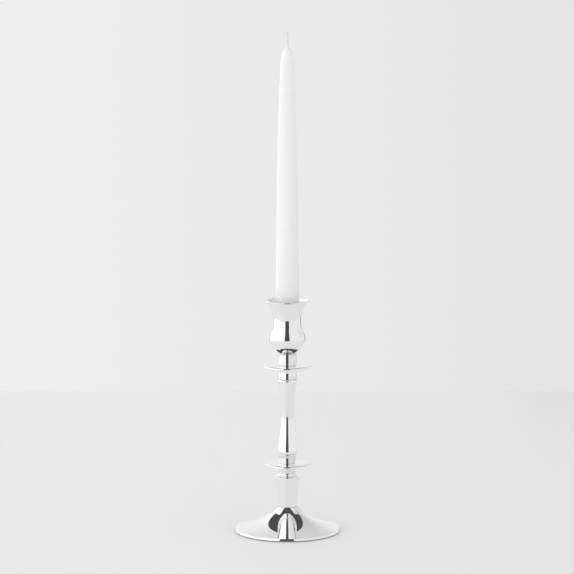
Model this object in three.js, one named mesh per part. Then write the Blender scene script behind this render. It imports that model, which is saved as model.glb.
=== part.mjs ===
// A polished candlestick with its taper candle: turned, spun and pressed pieces on one long threaded
// rod, clamped between a boss in the candle cup and a nut in the foot. Millimetres, +Z up. The origin
// is the middle of the face that the candlestick rests on.

import * as THREE from 'three';

// How finely round pieces are divided
const roundSides = 28;
const curveSteps = 4;
const smallCurveSteps = 2;
const footCurveSteps = 9;
const wickSteps = 16;
const holeSteps = 8;

// Room left between pieces that touch on the real object
const touchGap = 0.3;

// The small bevel on turned edges, and the least step between two points of a wall
const edgeBevel = 0.3;
const smallStep = 0.3;

// Rod and its hardware, in metric M6 sizes
const rodRadius = 3;
const boreRadius = 3.3;
const nutAcrossFlats = 10;
const nutHeight = 5;
const washerRadius = 6;
const washerThickness = 1.6;
const springWasherRadius = 5.9;
const springWasherSlit = 1.4;
const rodEndBelowNut = 1.3;

// Underside of the foot
const feltRadius = 47.3;
const feltThickness = 1;
const backingRadius = 43.4;
const backingThickness = 0.9;
const ballastRadius = 36;
const ballastTopRadius = 7;
const ballastBottom = 2.6;
const ballastRecessRadius = 8.5;
const ballastRecessTop = 13.3;
const ballastRoom = 0.6;

// Foot, a spun dish that sweeps up to a narrow flat top
const footRadius = 49.4;
const footRimBottom = 0.5;
const footRimTop = 2.8;
const footRimInside = 48.1;
const footRimFoot = 0.4;
const footRimCurl = 0.4;
const footShoulderRadius = 49.1;
const footTopRadius = 8.9;
const footTop = 22.9;
const footWall = 1.2;
const footWebThickness = 1.5;
const footWebEdge = 1.2;
const footHandles = [21.7, 10.15, 14.4, 15.9];

// Pedestal, narrow at the bottom, with a cove above its top edge
const pedestalBottomRadius = 8.8;
const pedestalTopRadius = 12.2;
const pedestalEdge = 51.5;
const pedestalTop = 54.8;
const pedestalHandles = [9.3, 33, 10.4, 43];
const coveHandle = [8.2, 52.1];

// Collars between the larger pieces
const pedestalCollarRadius = 7.8;
const lowerCollarTopRadius = 8.35;
const lowerCollarBottomRadius = 7.5;
const neckRadius = 8.5;
const coveHeight = 4.6;
const coveFlare = 2.2;

// Flat drip discs with half-round edges, at the heights of their middles
const discThickness = 2.4;
const lowerDiscRadius = 20.7;
const lowerDiscHeight = 63;
const upperDiscRadius = 22;
const upperDiscHeight = 155.2;

// Baluster stem
const stemBottom = 71.3;
const stemTop = 143.2;
const stemEndRadius = 8.6;
const stemLowerRadius = 9.25;
const stemUpperRadius = 9.3;
const stemWaistRadius = 6.1;
const stemWaistHeight = 109;
const stemLipHeight = 73.2;
const stemLipRadius = 8.95;
const stemShoulderHeight = 76;
const stemTopShoulder = 141.6;
const lipHandle = [8.2, 72.9];
const shoulderHandle = [9.35, 74.3];
const belowWaistHandles = [8.6, 84, 6.1, 93];
const aboveWaistHandles = [6.1, 121, 7.3, 130];
const topShoulderHandle = [9.3, 142.6];

// Candle cup, a tulip with a round bowl, a waist and a flared mouth
const cupBottom = 166.7;
const cupBottomRadius = 8.4;
const bowlRadius = 16.75;
const bowlCentre = 182.2;
const waistRadius = 12.5;
const waistHeight = 196.5;
const rimRadius = 20.6;
const rimHeight = 217;
const rimEdgeRadius = 0.45;
const cupWall = 0.7;
const cupFloorTop = 168.2;
const rimThickness = 0.8;
const bowlEndTurn = -0.04;
const underWaistHandles = [16.7, 185.6, 12.5, 190.4];
const flareHandles = [12.5, 204.6, 15.2, 210];

// Boss that the rod screws into, and the drawn socket that holds the candle
const bossFlangeRadius = 6.8;
const bossFlangeTop = 171;
const bossRadius = 5.2;
const bossTop = 179;
const rodTop = 178;
const linerRadius = 11.5;
const linerWall = 0.35;
const linerFloorTop = 194.6;
const linerFloorThickness = 0.5;
const linerFloorEdge = 0.6;
const linerLipRadius = 12.4;
const linerLipStart = 205;
const linerTop = 206.4;

// Taper candle, ten inches long, and its braided wick
const candleBottom = 194.9;
const candleLength = 254;
const candleRadius = 10.9;
const candleShoulderRadius = 6.3;
const candleShoulderHeight = 434;
const candleTipRadius = 1.3;
const candleTaperStart = 222;
const taperHandles = [9.9, 285, 9.7, 360];
const tipHandles = [5.95, 441, 4.6, 447];
const buttEdge = 0.8;
const wickRadius = 0.8;
const wickBore = 1.1;
const wickSides = 8;
const wickTop = 463.6;

// Finishes
const silver = { color: 0xe9e7e2, roughness: 0.08, metalness: 1 };
const brass = { color: 0xc9a75c, roughness: 0.35, metalness: 1 };
const zincSteel = { color: 0xb4b7ba, roughness: 0.4, metalness: 1 };
const castIron = { color: 0x4a4846, roughness: 0.85, metalness: 0.6 };
const fibreBoard = { color: 0x9a815f, roughness: 0.9, metalness: 0 };
const felt = { color: 0x23262b, roughness: 1, metalness: 0 };
const wax = { color: 0xf6f4ee, roughness: 0.5, metalness: 0 };
const cotton = { color: 0xece6d8, roughness: 0.9, metalness: 0 };

const candlestick = new THREE.Group();

// Adds one named piece with a material of its own
function addPiece(name, geometry, finish) {
  const mesh = new THREE.Mesh(geometry, new THREE.MeshStandardMaterial(finish));
  mesh.name = name;
  candlestick.add(mesh);
}

// Turns an outline of radius and height about the upright axis. The outline runs out along the
// bottom, up the outside and back in along the top.
function addTurned(name, outline, finish) {
  const geometry = new THREE.LatheGeometry(outline, roundSides);
  geometry.rotateX(Math.PI / 2);
  addPiece(name, geometry, finish);
}

// The points of a closed path
function closed(path, steps = curveSteps) {
  path.closePath();
  return path.getPoints(steps);
}

// Points moved inwards by a wall's thickness, square to the outline they lie on
function inset(points, wall) {
  const last = points.length - 1;
  return points.map((point, index) => {
    const before = points[Math.max(index - 1, 0)];
    const after = points[Math.min(index + 1, last)];
    const along = after.clone().sub(before).normalize();
    return new THREE.Vector2(point.x - along.y * wall, point.y + along.x * wall);
  });
}

// A plain round solid from the axis out
function roundOutline(radius, bottom, top) {
  return [
    new THREE.Vector2(0, bottom),
    new THREE.Vector2(radius, bottom),
    new THREE.Vector2(radius, top),
    new THREE.Vector2(0, top),
  ];
}

// A plain ring with the rod's bore in the middle
function ringOutline(radius, bottom, top) {
  const path = new THREE.Path();
  path.moveTo(boreRadius, bottom);
  path.lineTo(radius, bottom);
  path.lineTo(radius, top);
  path.lineTo(boreRadius, top);
  return closed(path);
}

// A bored collar that may taper, with small bevels at both ends
function collarOutline(bottomRadius, topRadius, bottom, top) {
  const path = new THREE.Path();
  path.moveTo(boreRadius, bottom);
  path.lineTo(bottomRadius - edgeBevel, bottom);
  path.lineTo(bottomRadius, bottom + edgeBevel);
  path.lineTo(topRadius, top - edgeBevel);
  path.lineTo(topRadius - edgeBevel, top);
  path.lineTo(boreRadius, top);
  return closed(path);
}

// A bored collar whose top flares out in a cove, to carry the disc above it
function covedCollarOutline(radius, bottom, top) {
  const path = new THREE.Path();
  path.moveTo(boreRadius, bottom);
  path.lineTo(radius - edgeBevel, bottom);
  path.lineTo(radius, bottom + edgeBevel);
  path.lineTo(radius, top - coveHeight);
  path.quadraticCurveTo(radius, top - coveHeight / 2, radius + coveFlare, top);
  path.lineTo(boreRadius, top);
  return closed(path);
}

// A bored flat disc with a half-round edge
function discOutline(radius, height) {
  const edge = discThickness / 2;
  const path = new THREE.Path();
  path.moveTo(boreRadius, height - edge);
  path.absarc(radius - edge, height, edge, -Math.PI / 2, Math.PI / 2, false);
  path.lineTo(boreRadius, height + edge);
  return closed(path, smallCurveSteps);
}

// The foot's upper surface, from the rim in to the flat top
function footSweep() {
  const sweep = new THREE.Path();
  sweep.moveTo(footShoulderRadius, footRimTop);
  sweep.bezierCurveTo(...footHandles, footTopRadius, footTop);
  return sweep.getPoints(footCurveSteps);
}

function footOutline() {
  const rim = new THREE.Path();
  rim.moveTo(footRimInside, footRimBottom);
  rim.lineTo(footRadius - footRimFoot, footRimBottom);
  rim.lineTo(footRadius, footRimBottom + footRimFoot);
  rim.lineTo(footRadius, footRimTop - footRimCurl);
  rim.quadraticCurveTo(footRadius, footRimTop - footRimCurl / 2, footShoulderRadius, footRimTop);
  const webBottom = footTop - footWebThickness;
  const inside = inset(footSweep().slice(1), footWall).filter((point) => point.y < webBottom - smallStep);
  return [
    ...rim.getPoints(smallCurveSteps),
    ...footSweep().slice(1),
    new THREE.Vector2(boreRadius, footTop),
    new THREE.Vector2(boreRadius, webBottom),
    new THREE.Vector2(footTopRadius - footWebEdge, webBottom),
    ...inside.reverse(),
    new THREE.Vector2(footRimInside, footRimTop - footWall),
    new THREE.Vector2(footRimInside, footRimBottom),
  ];
}

// A cast ring under the foot, shaped to the hollow above it, with a recess for the nut
function ballastOutline() {
  const top = footTop - footWebThickness - touchGap;
  const upper = inset(footSweep(), footWall + ballastRoom);
  const sides = upper.filter((point) => point.x < ballastRadius && point.y < top - smallStep);
  return [
    new THREE.Vector2(ballastRecessRadius, ballastBottom),
    new THREE.Vector2(ballastRadius, ballastBottom),
    ...sides,
    new THREE.Vector2(ballastTopRadius, top),
    new THREE.Vector2(boreRadius, top),
    new THREE.Vector2(boreRadius, ballastRecessTop),
    new THREE.Vector2(ballastRecessRadius, ballastRecessTop),
    new THREE.Vector2(ballastRecessRadius, ballastBottom),
  ];
}

function pedestalOutline() {
  const path = new THREE.Path();
  path.moveTo(boreRadius, footTop + touchGap);
  path.lineTo(pedestalBottomRadius, footTop + touchGap);
  path.bezierCurveTo(...pedestalHandles, pedestalTopRadius, pedestalEdge - edgeBevel);
  path.lineTo(pedestalTopRadius - edgeBevel, pedestalEdge);
  path.quadraticCurveTo(...coveHandle, pedestalCollarRadius, pedestalTop);
  path.lineTo(boreRadius, pedestalTop);
  return closed(path);
}

function stemOutline() {
  const path = new THREE.Path();
  path.moveTo(boreRadius, stemBottom);
  path.lineTo(stemEndRadius - edgeBevel, stemBottom);
  path.quadraticCurveTo(...lipHandle, stemLipRadius, stemLipHeight);
  path.quadraticCurveTo(...shoulderHandle, stemLowerRadius, stemShoulderHeight);
  path.bezierCurveTo(...belowWaistHandles, stemWaistRadius, stemWaistHeight);
  path.bezierCurveTo(...aboveWaistHandles, stemUpperRadius, stemTopShoulder);
  path.quadraticCurveTo(...topShoulderHandle, stemEndRadius, stemTop);
  path.lineTo(boreRadius, stemTop);
  return closed(path);
}

// The cup's outer surface from the bottom of its bowl to its rim
function cupSweep() {
  const bowlStart = -Math.acos(cupBottomRadius / bowlRadius);
  const sweep = new THREE.Path();
  sweep.absarc(0, bowlCentre, bowlRadius, bowlStart, bowlEndTurn, false);
  sweep.bezierCurveTo(...underWaistHandles, waistRadius, waistHeight);
  sweep.bezierCurveTo(...flareHandles, rimRadius - rimEdgeRadius, rimHeight - 1);
  return sweep.getPoints(curveSteps);
}

function cupOutline() {
  const outside = cupSweep();
  const inside = inset(outside, cupWall).filter((point) => point.y > cupFloorTop + smallStep);
  return [
    new THREE.Vector2(boreRadius, cupBottom),
    new THREE.Vector2(cupBottomRadius, cupBottom),
    ...outside,
    new THREE.Vector2(rimRadius, rimHeight - rimEdgeRadius),
    new THREE.Vector2(rimRadius - rimEdgeRadius / 2, rimHeight),
    new THREE.Vector2(rimRadius - rimThickness, rimHeight - rimEdgeRadius / 4),
    ...inside.reverse(),
    new THREE.Vector2(bossFlangeRadius + touchGap, cupFloorTop),
    new THREE.Vector2(boreRadius, cupFloorTop),
    new THREE.Vector2(boreRadius, cupBottom),
  ];
}

function bossOutline() {
  const path = new THREE.Path();
  path.moveTo(boreRadius, cupFloorTop + touchGap);
  path.lineTo(bossFlangeRadius, cupFloorTop + touchGap);
  path.lineTo(bossFlangeRadius, bossFlangeTop);
  path.lineTo(bossRadius, bossFlangeTop);
  path.lineTo(bossRadius, bossTop);
  path.lineTo(boreRadius, bossTop);
  return closed(path);
}

// A drawn socket with a flat floor and a turned-out lip
function linerOutline() {
  const inner = linerRadius - linerWall;
  const floorBottom = linerFloorTop - linerFloorThickness;
  const path = new THREE.Path();
  path.moveTo(0, floorBottom);
  path.lineTo(linerRadius - linerFloorEdge, floorBottom);
  path.lineTo(linerRadius, floorBottom + linerFloorEdge);
  path.lineTo(linerRadius, linerLipStart);
  path.lineTo(linerLipRadius, linerTop - linerWall);
  path.lineTo(linerLipRadius, linerTop);
  path.lineTo(linerLipRadius - linerWall, linerTop);
  path.lineTo(inner, linerLipStart + linerWall / 2);
  path.lineTo(inner, linerFloorTop);
  path.lineTo(0, linerFloorTop);
  return path.getPoints(1);
}

// A taper that narrows slowly, then rounds in to a small tip, with the wick's bore through it
function candleOutline() {
  const tip = candleBottom + candleLength;
  const path = new THREE.Path();
  path.moveTo(wickBore, candleBottom);
  path.lineTo(candleRadius - buttEdge, candleBottom);
  path.lineTo(candleRadius, candleBottom + buttEdge);
  path.lineTo(candleRadius, candleTaperStart);
  path.bezierCurveTo(...taperHandles, candleShoulderRadius, candleShoulderHeight);
  path.bezierCurveTo(...tipHandles, candleTipRadius, tip);
  path.lineTo(wickBore, tip);
  return closed(path);
}

// A smooth curve whose steps are shared evenly between its points, so close points get short steps
class PointedCurve extends THREE.CatmullRomCurve3 {
  getUtoTmapping(share) {
    return share;
  }
}

// The wick runs the candle's whole length and curls over above the tip
function addWick() {
  const tip = candleBottom + candleLength;
  const route = new PointedCurve([
    new THREE.Vector3(0, 0, candleBottom + 0.4),
    new THREE.Vector3(0, 0, 320),
    new THREE.Vector3(0, 0, tip - 6),
    new THREE.Vector3(0.15, 0, tip + 0.4),
    new THREE.Vector3(0.35, 0, tip + 6),
    new THREE.Vector3(0.15, 0, wickTop - 3),
    new THREE.Vector3(0.1, 0, wickTop - 1.2),
    new THREE.Vector3(-0.45, 0, wickTop - 0.4),
    new THREE.Vector3(-1.9, 0, wickTop - 0.4),
  ]);
  const section = new THREE.Shape();
  section.absarc(0, 0, wickRadius, 0, Math.PI * 2, false);
  const options = { extrudePath: route, steps: wickSteps, curveSegments: wickSides / 2 };
  addPiece('wick', new THREE.ExtrudeGeometry(section, options), cotton);
}

// An upright extrusion between two heights
function addExtruded(name, shape, bottom, height, finish) {
  const options = { depth: height, bevelEnabled: false, curveSegments: holeSteps };
  const geometry = new THREE.ExtrudeGeometry(shape, options);
  geometry.translate(0, 0, bottom);
  addPiece(name, geometry, finish);
}

// A round hole of the rod's bore
function boreHole() {
  const hole = new THREE.Path();
  hole.absarc(0, 0, boreRadius, 0, Math.PI * 2, true);
  return hole;
}

function addNut(bottom) {
  const corner = nutAcrossFlats / Math.sqrt(3);
  const shape = new THREE.Shape();
  for (let side = 0; side < 6; side += 1) {
    const angle = (side * Math.PI) / 3;
    const x = corner * Math.cos(angle);
    const y = corner * Math.sin(angle);
    if (side === 0) {
      shape.moveTo(x, y);
    } else {
      shape.lineTo(x, y);
    }
  }
  shape.holes.push(boreHole());
  addExtruded('hex_nut', shape, bottom, nutHeight, zincSteel);
}

// A ring with one narrow slit across it
function addSpringWasher(bottom) {
  const halfSlit = springWasherSlit / 2;
  const outerTurn = Math.asin(halfSlit / springWasherRadius);
  const innerTurn = Math.asin(halfSlit / boreRadius);
  const full = Math.PI * 2;
  const shape = new THREE.Shape();
  shape.absarc(0, 0, springWasherRadius, outerTurn, full - outerTurn, false);
  shape.absarc(0, 0, boreRadius, full - innerTurn, innerTurn, true);
  addExtruded('spring_washer', shape, bottom, washerThickness, zincSteel);
}

// Foot and what is clamped inside it
const backingBottom = feltThickness + touchGap;
const backingTop = backingBottom + backingThickness;
const washerTop = ballastRecessTop - touchGap;
const washerBottom = washerTop - washerThickness;
const springWasherBottom = washerBottom - touchGap - washerThickness;
const nutBottom = springWasherBottom - touchGap - nutHeight;
const rodBottom = nutBottom - rodEndBelowNut;
addTurned('felt_pad', roundOutline(feltRadius, 0, feltThickness), felt);
addTurned('backing_disc', roundOutline(backingRadius, backingBottom, backingTop), fibreBoard);
addTurned('foot_shell', footOutline(), silver);
addTurned('ballast_weight', ballastOutline(), castIron);
addTurned('flat_washer', ringOutline(washerRadius, washerBottom, washerTop), zincSteel);
addSpringWasher(springWasherBottom);
addNut(nutBottom);
addTurned('tie_rod', roundOutline(rodRadius, rodBottom, rodTop), zincSteel);

// Column, from the pedestal up to the candle cup
const halfDisc = discThickness / 2;
const lowerDiscBottom = lowerDiscHeight - halfDisc;
const lowerDiscTop = lowerDiscHeight + halfDisc;
const upperDiscBottom = upperDiscHeight - halfDisc;
const upperDiscTop = upperDiscHeight + halfDisc;
const collars = [
  ['pedestal_collar', pedestalCollarRadius, pedestalCollarRadius, pedestalTop, lowerDiscBottom],
  ['stem_bottom_collar', lowerCollarBottomRadius, lowerCollarTopRadius, lowerDiscTop, stemBottom],
  ['upper_neck_collar', neckRadius, neckRadius, upperDiscTop, cupBottom],
];
addTurned('pedestal', pedestalOutline(), silver);
for (const [name, bottomRadius, topRadius, below, above] of collars) {
  addTurned(name, collarOutline(bottomRadius, topRadius, below + touchGap, above - touchGap), silver);
}
addTurned('lower_disc', discOutline(lowerDiscRadius, lowerDiscHeight), silver);
addTurned('baluster_stem', stemOutline(), silver);
const topCollar = covedCollarOutline(neckRadius, stemTop + touchGap, upperDiscBottom - touchGap);
addTurned('stem_top_collar', topCollar, silver);
addTurned('upper_disc', discOutline(upperDiscRadius, upperDiscHeight), silver);

// Candle cup, its socket, and the candle that lifts out of it
addTurned('cup_shell', cupOutline(), silver);
addTurned('cup_boss', bossOutline(), brass);
addTurned('socket_liner', linerOutline(), silver);
addTurned('candle', candleOutline(), wax);
addWick();

export default candlestick;
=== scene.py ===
import math

import bpy
import numpy as np
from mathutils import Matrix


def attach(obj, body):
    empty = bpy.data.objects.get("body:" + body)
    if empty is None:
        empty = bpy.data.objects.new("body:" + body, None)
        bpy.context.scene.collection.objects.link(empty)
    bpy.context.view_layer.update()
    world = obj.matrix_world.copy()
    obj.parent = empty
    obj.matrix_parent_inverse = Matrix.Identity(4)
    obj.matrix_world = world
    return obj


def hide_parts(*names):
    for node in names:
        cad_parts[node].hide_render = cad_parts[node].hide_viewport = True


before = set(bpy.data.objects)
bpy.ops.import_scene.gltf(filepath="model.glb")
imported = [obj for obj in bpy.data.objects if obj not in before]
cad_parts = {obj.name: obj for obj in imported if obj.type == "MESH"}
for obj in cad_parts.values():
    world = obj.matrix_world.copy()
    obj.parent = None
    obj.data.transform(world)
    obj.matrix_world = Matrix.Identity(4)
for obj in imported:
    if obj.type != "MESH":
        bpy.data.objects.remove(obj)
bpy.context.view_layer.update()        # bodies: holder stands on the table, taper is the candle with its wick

scene = bpy.context.scene
mm = 0.001
fullTurn = 2 * math.pi

# Camera. It stands about two metres off with a long lens, a little above the cup, and looks slightly down.
cameraSetup = {
    "distance": 2.046,      # metres in front of the stem
    "height": 0.480,        # metres above the table
    "tiltDown": 7.0,        # degrees
    "lens": 139.9,          # mm on a 36 mm sensor
    "shift": (-0.0005, 0.0009),
}


def placeCamera(setup):
    data = bpy.data.cameras.new("studioCamera")
    data.lens = setup["lens"]
    data.sensor_width = 36
    data.shift_x, data.shift_y = setup["shift"]
    camera = bpy.data.objects.new("studioCamera", data)
    camera.location = (0, -setup["distance"], setup["height"])
    camera.rotation_euler = (math.radians(90 - setup["tiltDown"]), 0, 0)
    scene.collection.objects.link(camera)
    scene.camera = camera


placeCamera(cameraSetup)
print("camera placed")

# Outlines. An outline is a run of (radius, height) pairs in millimetres. It runs out along the bottom,
# up the outside and back in along the top, so that faces made from it point outwards.


def bend(start, handles, end, steps=40):
    # A Bezier curve: every point is a blend of the start, the handles and the end by Bernstein shares.
    share = np.linspace(0, 1, steps + 1)[:, None]
    marks = np.array([start, *handles, end], float)
    last = len(marks) - 1
    weights = [math.comb(last, k) * (1 - share) ** (last - k) * share ** k for k in range(last + 1)]
    return sum(weight * mark for weight, mark in zip(weights, marks))


def arc(centre, radius, fromTurn, toTurn, steps=48):
    # A circle's stretch: centre plus radius times the cosine and the sine of the turn.
    turn = np.linspace(fromTurn, toTurn, steps + 1)
    return np.array(centre) + radius * np.column_stack([np.cos(turn), np.sin(turn)])


def insetRun(run, wall):
    # The same curve moved inwards: each point goes by the wall's thickness along the left-hand normal.
    along = np.gradient(run, axis=0)
    along /= np.linalg.norm(along, axis=1)[:, None]
    return run + wall * np.column_stack([-along[:, 1], along[:, 0]])


def roundedCorner(before, corner, after, rounding, steps=5):
    # A small arc that touches both sides of a corner, with one more point a hair outside each end of the
    # arc, so that the flats beside it stay flat when they are shaded smooth.
    toBefore, toAfter = before - corner, after - corner
    room = min(np.linalg.norm(toBefore), np.linalg.norm(toAfter))
    toBefore /= np.linalg.norm(toBefore)
    toAfter /= np.linalg.norm(toAfter)
    half = math.acos(np.clip(toBefore @ toAfter, -0.9999, 0.9999)) / 2
    tangent = min(rounding / math.tan(half), 0.4 * room)
    radius = tangent * math.tan(half)
    middle = (toBefore + toAfter) / np.linalg.norm(toBefore + toAfter)
    centre = corner + middle * radius / math.sin(half)
    first = corner + toBefore * tangent - centre
    last = corner + toAfter * tangent - centre
    share = np.linspace(0, 1, steps + 1)[:, None]
    spread = math.pi - 2 * half
    bow = (np.sin((1 - share) * spread) * first + np.sin(share * spread) * last) / math.sin(spread)
    support = min(0.05, 0.2 * room)
    ends = [corner + toward * (tangent + support) for toward in (toBefore, toAfter)]
    return np.vstack([ends[0], centre + bow, ends[1]])


def outline(*stretches):
    # Stretches are curves, taken as they are, and corners (radius, height, rounding), which get a small arc.
    marks = np.vstack([np.atleast_2d(np.array(s, float)[..., :2]) for s in stretches])
    roundings = np.concatenate([[s[2]] if isinstance(s, tuple) else np.zeros(len(s)) for s in stretches])
    runs = []
    for k, rounding in enumerate(roundings):
        if rounding > 0:
            runs.append(roundedCorner(marks[k - 1], marks[k], marks[(k + 1) % len(marks)], rounding))
        else:
            runs.append(marks[k:k + 1])
    return np.vstack(runs)


# Meshes


def gridFaces(rows, sides, closedRows):
    # Every four neighbours of a grid whose sides go all the way round make one face.
    row = np.arange(rows if closedRows else rows - 1)[:, None]
    side = np.arange(sides)[None, :]
    nextRow = (row + 1) % rows
    nextSide = (side + 1) % sides
    corners = [row * sides + side, row * sides + nextSide, nextRow * sides + nextSide, nextRow * sides + side]
    return np.stack(corners, -1).reshape(-1, 4)


def makePiece(name, points, faces, marks=None):
    # marks are per-point numbers that the materials read, such as how near a seam a point lies
    mesh = bpy.data.meshes.new(name)
    mesh.from_pydata((points * mm).tolist(), [], faces)
    mesh.polygons.foreach_set("use_smooth", np.ones(len(mesh.polygons), bool))
    for mark, values in (marks or {}).items():
        mesh.attributes.new(mark, "FLOAT", "POINT").data.foreach_set("value", values.astype(np.float32))
    mesh.update()
    piece = bpy.data.objects.new(name, mesh)
    scene.collection.objects.link(piece)
    return piece


def closeGrid(grid, ends):
    # A grid of rows by sides by columns made one closed skin. ends is "ring" where the last row meets the
    # first, "poles" where the first and last rows have shrunk to single points.
    rows, sides, columns = grid.shape
    if ends == "ring":
        return grid.reshape(-1, columns), gridFaces(rows, sides, True).tolist()
    inner = grid[1:-1]
    points = np.vstack([inner.reshape(-1, columns), grid[0, :1], grid[-1, :1]])
    side = np.arange(sides)
    nextSide = (side + 1) % sides
    count = (rows - 2) * sides
    below = np.column_stack([np.full(sides, count), nextSide, side])
    lastRow = count - sides
    above = np.column_stack([lastRow + side, lastRow + nextSide, np.full(sides, count + 1)])
    return points, gridFaces(rows - 2, sides, False).tolist() + below.tolist() + above.tolist()


def cappedGrid(grid):
    # The middle of the first row and of the last row added as rows of their own, for closeGrid's poles
    middles = grid[[0, -1]].mean(1, keepdims=True) + 0 * grid[[0, -1]]
    return np.concatenate([middles[:1], grid, middles[1:]])


def carryRound(radius, turn, height):
    # Points carried round the upright axis: x = r cos t, y = r sin t, and the height stays.
    return np.stack([radius * np.cos(turn), radius * np.sin(turn), height + 0 * turn], -1)


def turnedGrid(line, sides):
    # The outline carried round the axis in equal steps
    return carryRound(line[:, :1], np.arange(sides) / sides * fullTurn, line[:, 1:])


soilReach = 0.35      # mm over which the soil in a seam fades out


def runLength(line):
    # How far along a line each of its points lies
    return np.concatenate([[0], np.cumsum(np.linalg.norm(np.diff(line, axis=0), axis=1))])


def turnedPiece(name, line, sides=160, seams=(), satinRows=None):
    # Soil gathers in the seams, which are circles given by radius and height: it falls off from one to
    # nothing with the distance to the nearest. Satin rows are ones that the buff can't reach.
    run = runLength(line)
    gaps = [np.linalg.norm(line - np.array(seam), axis=1) for seam in seams]
    soil = np.exp(-np.min(gaps, axis=0) / soilReach) if gaps else 0 * run
    satin = 0 * run if satinRows is None else satinRows
    extra = np.stack([run, soil, satin], -1)[:, None] + np.zeros((1, sides, 1))
    ends = "poles" if line[0, 0] == 0 else "ring"
    points, faces = closeGrid(np.dstack([turnedGrid(line, sides), extra]), ends)
    marks = {"outlineRun": points[:, 3], "seamSoil": points[:, 4], "satin": points[:, 5]}
    return makePiece(name, points[:, :3], faces, marks)


def wavyNoise(points, size, seed):
    # Smooth noise about -1 to 1: a mean of plane waves in random directions, each about one size long.
    # A piece's dictionary gives each of its noises as a size in mm and a seed.
    draw = np.random.default_rng(seed)
    directions = draw.normal(size=(3, 28)) * fullTurn / (size * 1.7)
    phases = draw.uniform(0, fullTurn, 28)
    return np.sin(points @ directions + phases).mean(-1) * 3


def settle(piece, body, node, material):
    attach(piece, body)
    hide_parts(node)
    piece.data.materials.append(material)


# Materials


def linear(hexValue):
    # sRGB hex to the linear light that the shaders want
    parts = np.array([int(hexValue[k:k + 2], 16) for k in (1, 3, 5)]) / 255
    light = np.where(parts <= 0.04045, parts / 12.92, ((parts + 0.055) / 1.055) ** 2.4)
    return (*light.tolist(), 1)


def addNode(tree, kind, settings=None, inputs=None):
    # An input is a plain value, another node (which gives its first output) or one of its outputs
    node = tree.nodes.new(kind)
    for key, value in (settings or {}).items():
        setattr(node, key, value)
    for key, value in (inputs or {}).items():
        if isinstance(value, bpy.types.Node):
            value = value.outputs[0]
        if isinstance(value, bpy.types.NodeSocket):
            tree.links.new(value, node.inputs[key])
        else:
            node.inputs[key].default_value = value
    return node


def newMaterial(name):
    material = bpy.data.materials.new(name)
    material.use_nodes = True
    material.node_tree.nodes.clear()
    return material


def startFinish(name):
    # An empty material, its tree, and the place on the piece that its patterns are laid out by
    material = newMaterial(name)
    tree = material.node_tree
    return material, tree, addNode(tree, "ShaderNodeTexCoord").outputs["Object"]


def coat(material, inputs):
    # Ends a material: the shader with its inputs, and the output
    shader = addNode(material.node_tree, "ShaderNodeBsdfPrincipled", {}, inputs)
    addNode(material.node_tree, "ShaderNodeOutputMaterial", {}, {"Surface": shader})
    return material


silverFinish = {
    "silver": "#F6F6F5", "tarnish": "#7D766C",
    "buffLine": 0.5,          # mm between the buff's lines, drawn about ten times coarser than they are
    "buffReach": 30,          # mm that a line runs before it fades
    "buffDepth": 0.00025,     # mm
    "handWave": 19,           # mm between the soft waves that hand buffing leaves
    "waveDepth": 0.006,       # mm
    "wipe": 7,                # mm across the marks that a cloth leaves
    "roughness": (0.012, 0.05),
    "satinRoughness": 0.42, "seamTarnish": 0.3,
}


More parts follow.
